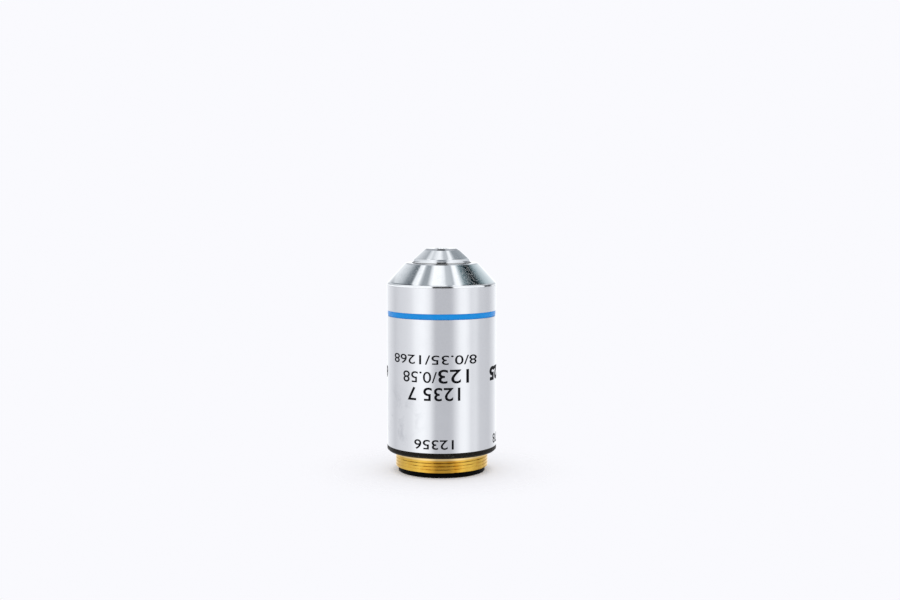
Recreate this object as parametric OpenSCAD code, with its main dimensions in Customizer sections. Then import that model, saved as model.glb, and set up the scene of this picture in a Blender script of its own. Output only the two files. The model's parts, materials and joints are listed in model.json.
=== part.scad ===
// Spring-loaded dry microscope objective on a fine screw mount, standing with its nose up.
// Z = 0 is the mounting shoulder, +Z points to the specimen, and all sizes are in millimetres.

/* [Outer form] */
// Diameter of the satin sleeve
barrel_d = 24; // [20:0.1:28]
// Wall of the satin sleeve
sleeve_wall = 1; // [0.8:0.05:1.2]
// Height of the black shoulder flange
shoulder_h = 1.2; // [0.8:0.1:2]
// Chamfer on the lower edge of the shoulder flange
shoulder_chamfer = 0.35; // [0.1:0.05:0.5]
// Height of the polished cone
cone_h = 4.8; // [4.2:0.1:5.4]
// Width of the flat round the hole at the top of the cone
cone_top_w = 1.4; // [0.8:0.1:2]
// Height of the steep bevel at the foot of the cone
cone_bevel_h = 0.8; // [0.4:0.1:1.2]
// Width of the steep bevel at the foot of the cone
cone_bevel_w = 0.25; // [0.1:0.05:0.4]

/* [Coloured ring] */
// Distance from the ring's lower edge to the cone
ring_drop = 6.7; // [4:0.1:10]
// Width of the coloured ring
ring_w = 1.2; // [0.8:0.1:2]
// Depth of the groove that holds the ring
ring_groove = 0.5; // [0.35:0.05:0.6]
// How far the enamel lies below the sleeve's surface
ring_sunk = 0.22; // [0.1:0.01:0.3]

/* [Optical standard] */
// Distance from the shoulder to the specimen
parfocal_len = 45.06; // [38:0.01:52]
// Working distance above the cover glass
working_distance = 0.6; // [0.3:0.01:0.9]
// Thickness of the cover glass
cover_glass = 0.17; // [0.1:0.01:0.25]

/* [Nose] */
// Step from the lens barrel's neck in to the nose
nose_step = 1.6; // [1.2:0.1:2]
// Height of the nose above the cone
nose_h = 3.1; // [2.6:0.1:3.6]
// Width of the rim's bevel
nose_rim_w = 0.43; // [0.2:0.01:0.6]
// Height of the rim's bevel
nose_rim_h = 0.88; // [0.5:0.01:1.2]
// Diameter where the nose's flank ends
nose_flank_d = 7.4; // [7:0.1:8]
// Diameter of the flat tip
nose_tip_d = 6.7; // [6:0.1:6.9]
// Height of the small chamfer round the tip
nose_tip_h = 0.25; // [0.1:0.05:0.4]
// Radial gap round the nose in the cone's hole
nose_gap = 0.2; // [0.1:0.05:0.4]
// Height of the lip in the cone's hole
cone_lip_h = 1.2; // [0.8:0.1:1.6]

/* [Screw mount] */
// Major diameter of the fixing thread
thread_d = 20.27; // [19.6:0.01:21]
// Length of the fixing thread
thread_len = 3.4; // [2.4:0.1:4.5]
// Height of the thread's neck in the relief groove of the shoulder flange
relief_h = 0.6; // [0.3:0.1:0.8]
// Depth of the relief groove on its inner side, down to the thread's neck
relief_step = 0.45; // [0.35:0.05:0.6]
// Width of the relief groove on its outer side, beyond the thread or the tube's bore
relief_w = 0.4; // [0.3:0.05:0.8]
// Wall of the spigot above the fixing thread
spigot_wall = 1.28; // [1:0.02:1.6]
// Height of the spigot that enters the body tube
spigot_h = 5.4; // [4.6:0.1:5.8]
// Step from the thread in to the black foot ring
foot_step = 0.635; // [0.4:0.005:0.9]
// Height of the black foot ring
foot_h = 1.2; // [0.8:0.1:2]
// Wall of the foot ring's spigot
foot_wall = 0.98; // [0.7:0.02:1.3]
// How far the foot ring's spigot enters the thread's bore
foot_spigot_h = 2.4; // [1.5:0.1:3]
// Height of the rear baffle's lower face above the shoulder
baffle_z = 2; // [1:0.1:2.6]
// Thickness of the rear baffle
baffle_h = 1; // [0.6:0.1:1.4]
// Width of the rear baffle from its rim to its aperture
baffle_w = 3.48; // [2:0.02:4]

/* [Spring and slide] */
// Wall of the body tube that guides the lens barrel
tube_wall = 1.68; // [1.4:0.02:2]
// Radial room for the buffer spring round the lens barrel's neck
spring_room = 1.4; // [1.2:0.05:1.6]
// Length of the buffer spring with the nose out
spring_len = 8.3; // [7.8:0.1:9]
// How far the lens barrel can retract
travel = 2.2; // [1.5:0.1:2.2]
// Radial running clearance of the lens barrel
run_clear = 0.04; // [0.02:0.01:0.08]
// Wire diameter of the buffer spring
wire_d = 0.8; // [0.6:0.05:0.85]
// Open turns of the buffer spring
spring_turns = 4; // [3:1:5]
// Thickness of the spring seat
seat_h = 0.8; // [0.5:0.1:1]
// Thickness of the parfocal stop ring
stop_h = 2; // [1.4:0.1:2.4]
// Thickness of the lock ring above it
lock_h = 1.4; // [1:0.1:1.6]
// Length of the skirt inside the front cap
skirt_h = 3; // [2:0.1:3.2]
// Diameter of the guide screw's body
guide_d = 1.6; // [1.4:0.1:1.8]
// Diameter of the pin on the guide screw
guide_pin_d = 1.2; // [1:0.1:1.3]

/* [Lens barrel] */
// Wall of the thin necks of the lens barrel
neck_wall = 1; // [0.8:0.05:1.1]
// Length of the front neck
front_neck_len = 5.6; // [5.2:0.1:6]
// Length of the front guide land
front_land = 3.8; // [3:0.1:4]
// Length of the rear guide land
rear_land = 3.2; // [2.6:0.1:3.4]
// Length of the rear neck inside the spring
rear_neck_len = 6; // [5.6:0.1:6.1]
// Depth of the relief between the guide lands
relief = 0.3; // [0.2:0.05:0.5]
// Diameter of the centring screws
centring_d = 1.4; // [1.2:0.1:1.8]
// Number of centring screws
centring_n = 3; // [3:1:4]

/* [Lens cells] */
// Height of the front doublet's cell
front_cell_h = 5; // [4.6:0.1:5.6]
// Height of the middle spacer
middle_spacer_h = 1; // [0.6:0.1:1.6]
// Height of the middle doublet's cell
middle_cell_h = 4.6; // [4.4:0.1:5.2]
// Thickness of the aperture disc
aperture_h = 0.4; // [0.3:0.05:0.6]
// Width of the aperture disc from its rim to its hole
aperture_w = 3.38; // [2.4:0.02:4]
// Height of the rear group's cell
rear_cell_h = 4.4; // [4.4:0.1:4.8]
// Height of the retaining ring behind the cells
retainer_h = 1.2; // [1:0.1:1.6]
// Wall of the lens cells
cell_wall = 1.2; // [1:0.05:1.4]
// Inward lip that stops each lens in its cell
cell_lip = 0.5; // [0.3:0.05:0.8]
// Thickness of that lip
lip_h = 0.5; // [0.3:0.05:0.7]

/* [Nose lenses] */
// Diameter of the front lens
front_lens_d = 3.5; // [3.2:0.1:3.8]
// Thickness of the front lens
front_lens_t = 1.9; // [1.7:0.05:2]
// Radius of the front lens's round face
front_lens_r = 2; // [1.95:0.05:2.4]
// Hole in the nose's tip
tip_hole_d = 2.4; // [2:0.1:2.8]
// Thickness of the burnished lip at the tip
tip_lip = 0.4; // [0.3:0.05:0.5]
// Wall of the front lens's cell
front_seat_wall = 1.23; // [0.9:0.01:1.3]
// Height of the front lens's cell
front_seat_h = 3.1; // [2.8:0.1:3.2]
// Wall of the nose below that cell
nose_wall = 1.1; // [0.8:0.05:1.3]
// Height of the meniscus cell
meniscus_cell_h = 3.4; // [3.2:0.1:3.8]
// Height of the lock ring under the meniscus cell
nose_lock_h = 1.2; // [0.8:0.1:1.6]
// Thickness of the nose's flange
nose_flange_h = 1.2; // [0.9:0.1:1.4]
// Length of the nose's spigot inside the lens barrel
nose_spigot_h = 2; // [1.4:0.1:2.6]
// How far the lens barrel's front face lies below the cone
barrel_inset = 1.4; // [1.2:0.1:1.6]

/* [Hidden] */

$fn = 96;
round_fn = 32;

// Clearance between rigid pieces that are screwed or pressed together
seat_gap = 0.02;
// Clearance where one piece passes another without guiding it
pass_gap = 0.3;
// Overshoot that makes a cut run clean through
over = 1;

// Heights that follow from the standard distance between shoulder and specimen
tip_z = parfocal_len - working_distance - cover_glass;
cone_top_z = tip_z - nose_h;
sleeve_top_z = cone_top_z - cone_h;
ring_z = sleeve_top_z - ring_drop;
foot_z = -thread_len - foot_h;
seat_z = spigot_h + seat_h;

// Radii from the outside in
barrel_r = barrel_d / 2;
sleeve_bore_r = barrel_r - sleeve_wall;
tube_r = sleeve_bore_r - seat_gap;
tube_bore_r = tube_r - tube_wall;
in_tube_r = tube_bore_r - seat_gap;
barrel_land_r = tube_bore_r - run_clear;
neck_r = tube_bore_r - spring_room;
stop_hole_r = neck_r + pass_gap;
cell_bore_r = neck_r - neck_wall;
cell_r = cell_bore_r - seat_gap;
lens_r = cell_bore_r - cell_wall;
lens_fit_r = lens_r - seat_gap;
lip_r = lens_r - cell_lip;
nose_r = neck_r - nose_step;
cone_hole_r = nose_r + nose_gap;
cone_top_r = cone_hole_r + cone_top_w;
thread_r = thread_d / 2;
relief_r = max(thread_r, tube_bore_r) + relief_w;
thread_bore_r = in_tube_r - spigot_wall;
foot_hole_r = thread_bore_r - seat_gap - foot_wall;
foot_r = thread_r - foot_step;

// The front cells stack downwards from the nose's spigot
barrel_top_z = sleeve_top_z - barrel_inset;
stop_z = barrel_top_z - front_neck_len;
front_cell_z = barrel_top_z - nose_spigot_h - front_cell_h;
middle_spacer_z = front_cell_z - middle_spacer_h;
middle_cell_z = middle_spacer_z - middle_cell_h;
aperture_z = middle_cell_z - aperture_h;
// The rear cell stands on its retaining ring at the barrel's rear end, just above the spring's seat
rear_end_proud = 0.2;
spring_top_z = seat_z + spring_len;
barrel_rear_z = spring_top_z - rear_neck_len;
retainer_z = barrel_rear_z + rear_end_proud;
rear_cell_z = retainer_z + retainer_h;
rear_spacer_z = rear_cell_z + rear_cell_h;
rear_land_top_z = spring_top_z + rear_land;

// The guide screw's pin stands at the lower end of its slot
slot_floor = 0.7;
guide_pin_clear = 0.05;
guide_tip_gap = 0.2;
slot_depth = 0.95;
guide_z = spring_top_z + slot_floor + guide_pin_d / 2;
slot_r = barrel_land_r - slot_depth;

// The nose's own cells hang from its tip
nose_bore_r = nose_r - nose_wall;
nose_cell_r = nose_bore_r - seat_gap;
front_lens_fit_r = front_lens_d / 2 + seat_gap;
front_seat_r = front_lens_fit_r + front_seat_wall;
front_seat_top_z = tip_z - tip_lip;
front_seat_z = front_seat_top_z - front_seat_h;
meniscus_cell_z = front_seat_z - meniscus_cell_h;
nose_lock_z = meniscus_cell_z - nose_lock_h;
nose_throat_r = cell_bore_r - 2 * neck_wall;
nose_throat_z = min(barrel_top_z, nose_lock_z);

module turned(points) {
    rotate_extrude() polygon(points);
}

module ring(r_out, r_in, z, h) {
    difference() {
        translate([0, 0, z]) cylinder(r = r_out, h = h);
        translate([0, 0, z - over]) cylinder(r = r_in, h = h + 2 * over);
    }
}

// Housing: everything that stays still on the microscope

module outer_sleeve() {
    color("lightgray") difference() {
        ring(barrel_r, sleeve_bore_r, shoulder_h, sleeve_top_z - shoulder_h);
        ring(barrel_r + over, barrel_r - ring_groove, ring_z, ring_w);
    }
}

module magnification_ring() {
    color("dodgerblue") ring(barrel_r - ring_sunk, barrel_r - ring_groove, ring_z, ring_w);
}

module front_cap() {
    bevel_r = barrel_r - cone_bevel_w;
    skirt_bore_r = neck_r + pass_gap + 2 * seat_gap;
    color("silver") turned([
        [in_tube_r, sleeve_top_z - skirt_h], [in_tube_r, sleeve_top_z], [barrel_r, sleeve_top_z],
        [bevel_r, sleeve_top_z + cone_bevel_h], [cone_top_r, cone_top_z],
        [cone_hole_r, cone_top_z], [cone_hole_r, cone_top_z - cone_lip_h],
        [skirt_bore_r, sleeve_top_z], [skirt_bore_r, sleeve_top_z - skirt_h],
    ]);
}

module body_tube() {
    color("#24251e") difference() {
        turned([
            [tube_bore_r, relief_h], [relief_r, relief_h], [relief_r, 0],
            [barrel_r - shoulder_chamfer, 0], [barrel_r, shoulder_chamfer],
            [barrel_r, shoulder_h], [tube_r, shoulder_h], [tube_r, sleeve_top_z],
            [tube_bore_r, sleeve_top_z],
        ]);
        translate([0, 0, guide_z]) rotate([-90, 0, 0])
            cylinder(r = guide_d / 2 + seat_gap, h = barrel_r + over);
    }
}

module thread_mount() {
    color("goldenrod") difference() {
        union() {
            translate([0, 0, -thread_len]) cylinder(r = thread_r, h = thread_len);
            cylinder(r = thread_r - relief_step, h = relief_h);
            cylinder(r = in_tube_r, h = spigot_h);
        }
        translate([0, 0, -thread_len - over])
            cylinder(r = thread_bore_r, h = thread_len + spigot_h + 2 * over);
    }
}

module rear_ring() {
    color("#0a0a0a") difference() {
        union() {
            translate([0, 0, foot_z]) cylinder(r = foot_r, h = foot_h);
            translate([0, 0, -thread_len]) cylinder(r = thread_bore_r - seat_gap, h = foot_spigot_h);
        }
        translate([0, 0, foot_z - over])
            cylinder(r = foot_hole_r, h = foot_h + foot_spigot_h + 2 * over);
    }
}

module rear_baffle() {
    baffle_r = thread_bore_r - seat_gap;
    color("#141414") ring(baffle_r, baffle_r - baffle_w, baffle_z, baffle_h);
}

module spring_seat() {
    color("dimgray") ring(in_tube_r, neck_r + pass_gap, spigot_h, seat_h);
}

// Axial place of the wire's centre after a share s of all its turns
function spring_rise(turn, open_pitch) =
    turn < 1 ? turn * wire_d
    : turn < 1 + spring_turns ? wire_d + (turn - 1) * open_pitch
    : wire_d + spring_turns * open_pitch + (turn - 1 - spring_turns) * wire_d;

module buffer_spring() {
    sides = 8;
    steps_per_turn = 16;
    wire_gap = 0.02;
    coil_r = (neck_r + tube_bore_r) / 2;
    low_z = seat_z + wire_d / 2 + wire_gap;
    high_z = spring_top_z - wire_d / 2 - wire_gap;
    open_pitch = (high_z - low_z - 2 * wire_d) / spring_turns;
    turns = spring_turns + 2;
    steps = turns * steps_per_turn;
    points = [
        for (i = [0:steps], k = [0:sides - 1])
            let (turn = i / steps_per_turn, a = 360 * turn, b = 360 * k / sides,
                r = coil_r + wire_d / 2 * cos(b))
            [r * cos(a), r * sin(a), low_z + spring_rise(turn, open_pitch) + wire_d / 2 * sin(b)]
    ];
    walls = [
        for (i = [0:steps - 1], k = [0:sides - 1])
            let (m = (k + 1) % sides)
            [i * sides + k, (i + 1) * sides + k, (i + 1) * sides + m, i * sides + m]
    ];
    first_end = [for (k = [0:sides - 1]) k];
    last_end = [for (k = [sides - 1:-1:0]) steps * sides + k];
    color("gray") polyhedron(points = points, faces = concat([first_end], [last_end], walls));
}

module parfocal_ring() {
    color("darkgoldenrod") ring(in_tube_r, stop_hole_r, stop_z, stop_h);
}

module parfocal_lock_ring() {
    slot_w = 1;
    slot_h = 0.6;
    color("goldenrod") difference() {
        ring(in_tube_r, stop_hole_r, stop_z + stop_h, lock_h);
        translate([-barrel_r, -slot_w / 2, stop_z + stop_h + lock_h - slot_h])
            cube([barrel_d, slot_w, slot_h + over]);
    }
}

module guide_screw() {
    pin_end_r = slot_r + guide_tip_gap;
    color("gray") translate([0, 0, guide_z]) rotate([-90, 0, 0]) {
        translate([0, 0, tube_bore_r + guide_tip_gap])
            cylinder(r = guide_d / 2, h = tube_r - tube_bore_r - 2 * guide_tip_gap, $fn = round_fn);
        translate([0, 0, pin_end_r])
            cylinder(r = guide_pin_d / 2, h = tube_r - pin_end_r - 2 * guide_tip_gap, $fn = round_fn);
    }
}

// Lens assembly: everything that retracts with the nose

module lens_barrel() {
    waist_r = barrel_land_r - relief;
    slot_w = guide_pin_d + 2 * guide_pin_clear;
    slot_top_z = guide_z + travel + guide_pin_d / 2 + slot_floor;
    color("#2b2b2b") difference() {
        turned([
            [cell_bore_r, barrel_rear_z], [neck_r, barrel_rear_z], [neck_r, spring_top_z],
            [barrel_land_r, spring_top_z], [barrel_land_r, rear_land_top_z],
            [waist_r, rear_land_top_z], [waist_r, stop_z - front_land],
            [barrel_land_r, stop_z - front_land], [barrel_land_r, stop_z],
            [neck_r, stop_z], [neck_r, barrel_top_z], [cell_bore_r, barrel_top_z],
        ]);
        translate([-slot_w / 2, slot_r, guide_z - guide_pin_d / 2 - guide_pin_clear])
            cube([slot_w, slot_depth + over, slot_top_z - guide_z + guide_pin_d / 2 + guide_pin_clear]);
        centring_places() cylinder(r = centring_d / 2 + seat_gap, h = barrel_r);
    }
}

module centring_places() {
    for (i = [0:centring_n - 1])
        rotate([0, 0, 360 * i / centring_n + 180 / centring_n])
            translate([0, 0, middle_cell_z + middle_cell_h / 2]) rotate([0, 90, 0]) children();
}

module centring_screws() {
    color("gray") centring_places()
        translate([0, 0, cell_bore_r]) cylinder(
            r = centring_d / 2, h = barrel_land_r - relief - cell_bore_r - seat_gap, $fn = round_fn);
}

module nose_mount() {
    color("silver") turned([
        [nose_throat_r, barrel_top_z - nose_spigot_h], [cell_r, barrel_top_z - nose_spigot_h],
        [cell_r, barrel_top_z], [neck_r, barrel_top_z], [neck_r, barrel_top_z + nose_flange_h],
        [nose_r, barrel_top_z + nose_flange_h], [nose_r, cone_top_z],
        [nose_r - nose_rim_w, cone_top_z + nose_rim_h], [nose_flank_d / 2, tip_z - nose_tip_h],
        [nose_tip_d / 2, tip_z], [tip_hole_d / 2 + tip_lip, tip_z],
        [tip_hole_d / 2, front_seat_top_z], [front_seat_r + seat_gap, front_seat_top_z],
        [front_seat_r + seat_gap, front_seat_z], [nose_bore_r, front_seat_z],
        [nose_bore_r, nose_throat_z], [nose_throat_r, nose_throat_z],
    ]);
}

// How far a face of radius curve has dropped at distance r from the axis
function sag(curve, r) = curve == 0 ? 0 : sign(curve) * (abs(curve) - sqrt(curve * curve - r * r));

// Points of one face from the axis to the rim; a positive curve bends the rim down
face_steps = 10;
function face(curve, z, rim_r) =
    [for (i = [0:face_steps]) let (r = rim_r * i / face_steps) [r, z - sag(curve, r)]];
function reversed(list) = [for (i = [len(list) - 1:-1:0]) list[i]];

module lens(top_curve, top_z, low_curve, low_z, rim_r) {
    turned(concat(face(top_curve, top_z, rim_r), reversed(face(low_curve, low_z, rim_r))));
}

// Thickness on the axis of a lens with the edge thickness edge_t
function middle_t(edge_t, top_curve, low_curve, rim_r) =
    edge_t + sag(top_curve, rim_r) - sag(low_curve, rim_r);

// Height of a lens's lowest point above the lip that it rests on
function seat_rise(curve, rim_r, lip_in_r) = curve > 0 ? sag(curve, rim_r) : sag(curve, lip_in_r);

module front_lens() {
    top_z = front_seat_top_z;
    color("#9db8c8", 0.5) lens(0, top_z, -front_lens_r, top_z - front_lens_t, front_lens_d / 2);
}

module front_lens_cell() {
    back_flare = 0.4;
    color("darkgoldenrod") turned([
        [front_lens_fit_r, front_seat_top_z], [front_seat_r, front_seat_top_z],
        [front_seat_r, front_seat_z], [front_lens_fit_r + back_flare, front_seat_z],
        [front_lens_fit_r, front_seat_top_z - front_lens_t],
    ]);
}

meniscus_r = nose_cell_r - cell_wall;
meniscus_lip_r = meniscus_r - cell_lip;
// The radius of each round face is given as a multiple of its lens's rim radius
meniscus_front_bend = -2.27;
meniscus_back_bend = -1.16;
meniscus_edge_t = 0.66;

module meniscus_lens() {
    rim_r = meniscus_r - seat_gap;
    top_curve = meniscus_front_bend * rim_r;
    low_curve = meniscus_back_bend * rim_r;
    low_z = meniscus_cell_z + lip_h + seat_rise(low_curve, rim_r, meniscus_lip_r);
    top_z = low_z + middle_t(meniscus_edge_t, top_curve, low_curve, rim_r);
    color("#a9c4b4", 0.5) lens(top_curve, top_z, low_curve, low_z, rim_r);
}

// A brass ring with a bore for its lens and a lip below that the lens rests on
module lens_cell(z, h, out_r, bore_r, lip_in_r) {
    color("darkgoldenrod") turned([
        [lip_in_r, z], [out_r, z], [out_r, z + h], [bore_r, z + h], [bore_r, z + lip_h],
        [lip_in_r, z + lip_h],
    ]);
}

module meniscus_cell() {
    lens_cell(meniscus_cell_z, meniscus_cell_h, nose_cell_r, meniscus_r, meniscus_lip_r);
}

module nose_lock_ring() {
    color("goldenrod") ring(nose_cell_r, meniscus_lip_r, nose_lock_z, nose_lock_h);
}

module front_doublet_cell() {
    lens_cell(front_cell_z, front_cell_h, cell_r, lens_r, lip_r);
}

// Two cemented glasses on a cell's lip: the bends of the three faces and both edges
module cemented_pair(part, lip_z, top_bend, joint_bend, back_bend, top_edge, back_edge) {
    top_curve = top_bend * lens_fit_r;
    joint_curve = joint_bend * lens_fit_r;
    back_curve = back_bend * lens_fit_r;
    back_z = lip_z + seat_rise(back_curve, lens_fit_r, lip_r);
    joint_z = back_z + middle_t(back_edge, joint_curve, back_curve, lens_fit_r);
    top_z = joint_z + middle_t(top_edge, top_curve, joint_curve, lens_fit_r);
    if (part == "flint") lens(joint_curve, joint_z, back_curve, back_z, lens_fit_r);
    if (part == "crown") lens(top_curve, top_z, joint_curve, joint_z, lens_fit_r);
}

front_crown_bend = 2.1;
front_cement_bend = -1.76;
front_flint_bend = -2.8;
front_crown_edge_t = 0.5;
front_flint_edge_t = 1.8;

module front_doublet(part) {
    cemented_pair(part, front_cell_z + lip_h, front_crown_bend, front_cement_bend,
        front_flint_bend, front_crown_edge_t, front_flint_edge_t);
}

module front_crown_lens() {
    color("#a8c6d8", 0.5) front_doublet("crown");
}

module front_flint_lens() {
    color("#c8bfa8", 0.5) front_doublet("flint");
}

module middle_spacer() {
    color("#2b2b2b") ring(cell_r, lip_r, middle_spacer_z, middle_spacer_h);
}

module middle_doublet_cell() {
    lens_cell(middle_cell_z, middle_cell_h, cell_r, lens_r, lip_r);
}

middle_crown_bend = 2.5;
middle_cement_bend = -2.1;
middle_flint_bend = -5.3;
middle_crown_edge_t = 0.55;
middle_flint_edge_t = 2;

module middle_doublet(part) {
    cemented_pair(part, middle_cell_z + lip_h, middle_crown_bend, middle_cement_bend,
        middle_flint_bend, middle_crown_edge_t, middle_flint_edge_t);
}

module middle_crown_lens() {
    color("#a8c6d8", 0.5) middle_doublet("crown");
}

module middle_flint_lens() {
    color("#c8bfa8", 0.5) middle_doublet("flint");
}

module aperture_disc() {
    color("#141414") ring(cell_r, cell_r - aperture_w, aperture_z, aperture_h);
}

module rear_spacer() {
    color("#2b2b2b") ring(cell_r, lens_r, rear_spacer_z, aperture_z - rear_spacer_z);
}

module rear_lens_cell() {
    lens_cell(rear_cell_z, rear_cell_h, cell_r, lens_r, lip_r);
}

rear_front_bend = -3.5;
rear_joint_bend = 7;
rear_back_bend = 4.2;
rear_crown_edge_t = 2.4;
rear_flint_edge_t = 1.4;

module rear_group(part) {
    cemented_pair(part, rear_cell_z + lip_h, rear_front_bend, rear_joint_bend,
        rear_back_bend, rear_crown_edge_t, rear_flint_edge_t);
}

module rear_crown_lens() {
    color("#c8bfa8", 0.5) rear_group("crown");
}

module rear_flint_lens() {
    color("#a8c6d8", 0.5) rear_group("flint");
}

module cell_retaining_ring() {
    slot_w = 1;
    slot_h = 0.6;
    color("#2b2b2b") difference() {
        ring(cell_r, lip_r, retainer_z, retainer_h);
        translate([-barrel_r, -slot_w / 2, retainer_z - over]) cube([barrel_d, slot_w, slot_h + over]);
    }
}

outer_sleeve();
magnification_ring();
front_cap();
body_tube();
thread_mount();
rear_ring();
rear_baffle();
spring_seat();
buffer_spring();
parfocal_ring();
parfocal_lock_ring();
guide_screw();
lens_barrel();
centring_screws();
nose_mount();
front_lens();
front_lens_cell();
meniscus_lens();
meniscus_cell();
nose_lock_ring();
front_doublet_cell();
front_crown_lens();
front_flint_lens();
middle_spacer();
middle_doublet_cell();
middle_crown_lens();
middle_flint_lens();
aperture_disc();
rear_spacer();
rear_lens_cell();
rear_crown_lens();
rear_flint_lens();
cell_retaining_ring();
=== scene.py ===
"""Dresses the microscope objective: turned metal, screw thread, enamel ring, print and studio."""

import json
import math

import bmesh
import bpy
from bpy.props import FloatProperty, FloatVectorProperty, IntProperty, PointerProperty
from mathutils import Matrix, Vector


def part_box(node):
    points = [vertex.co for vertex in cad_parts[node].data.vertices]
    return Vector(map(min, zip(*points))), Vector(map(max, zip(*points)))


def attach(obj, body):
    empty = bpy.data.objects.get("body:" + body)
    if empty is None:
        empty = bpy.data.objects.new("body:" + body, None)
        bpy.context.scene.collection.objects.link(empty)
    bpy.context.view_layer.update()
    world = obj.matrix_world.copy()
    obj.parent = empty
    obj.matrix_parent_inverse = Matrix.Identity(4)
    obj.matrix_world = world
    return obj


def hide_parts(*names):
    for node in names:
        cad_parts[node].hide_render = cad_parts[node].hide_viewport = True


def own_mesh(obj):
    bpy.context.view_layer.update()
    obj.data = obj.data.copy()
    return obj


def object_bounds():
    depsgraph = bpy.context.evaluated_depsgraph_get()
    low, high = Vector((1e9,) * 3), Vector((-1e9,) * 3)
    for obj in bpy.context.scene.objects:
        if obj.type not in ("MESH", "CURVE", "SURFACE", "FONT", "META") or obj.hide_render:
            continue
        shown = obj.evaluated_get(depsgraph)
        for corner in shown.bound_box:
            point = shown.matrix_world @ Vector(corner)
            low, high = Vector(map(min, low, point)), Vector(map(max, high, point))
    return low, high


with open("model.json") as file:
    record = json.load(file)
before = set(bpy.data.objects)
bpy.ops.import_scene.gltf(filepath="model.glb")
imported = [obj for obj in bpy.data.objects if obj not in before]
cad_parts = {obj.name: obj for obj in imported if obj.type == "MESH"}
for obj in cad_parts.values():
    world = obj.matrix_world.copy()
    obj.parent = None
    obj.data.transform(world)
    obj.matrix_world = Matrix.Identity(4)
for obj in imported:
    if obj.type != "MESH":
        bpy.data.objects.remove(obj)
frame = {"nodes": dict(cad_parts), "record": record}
CAD_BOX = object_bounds()

bl_info = {
    "name": "Microscope Objective",
    "version": (1, 0, 0),
    "blender": (4, 5, 0),
    "location": "View3D > Sidebar > Objective",
    "description": "Builds the dressed pieces, finishes and studio of a microscope objective",
    "category": "Add Mesh",
}

MM = 0.001
CAMERA_TILT = 4.787
HOUSING = "housing"
LENS_GROUP = "lens_group"


def outer_radius(node):
    """The largest radius of a turned CAD node."""
    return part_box(node)[1].x


def low_z(node):
    """The lowest height of a CAD node."""
    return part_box(node)[0].z


def top_z(node):
    """The highest height of a CAD node."""
    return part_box(node)[1].z


def length(name, default, description):
    """A size in metres that a user may change."""
    return FloatProperty(
        name=name, description=description, default=default, min=0, unit="LENGTH", precision=6
    )


def colour(name, default, description):
    """A colour that a user may change."""
    return FloatVectorProperty(
        name=name, description=description, default=default, size=3, min=0, max=1, subtype="COLOR"
    )


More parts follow.
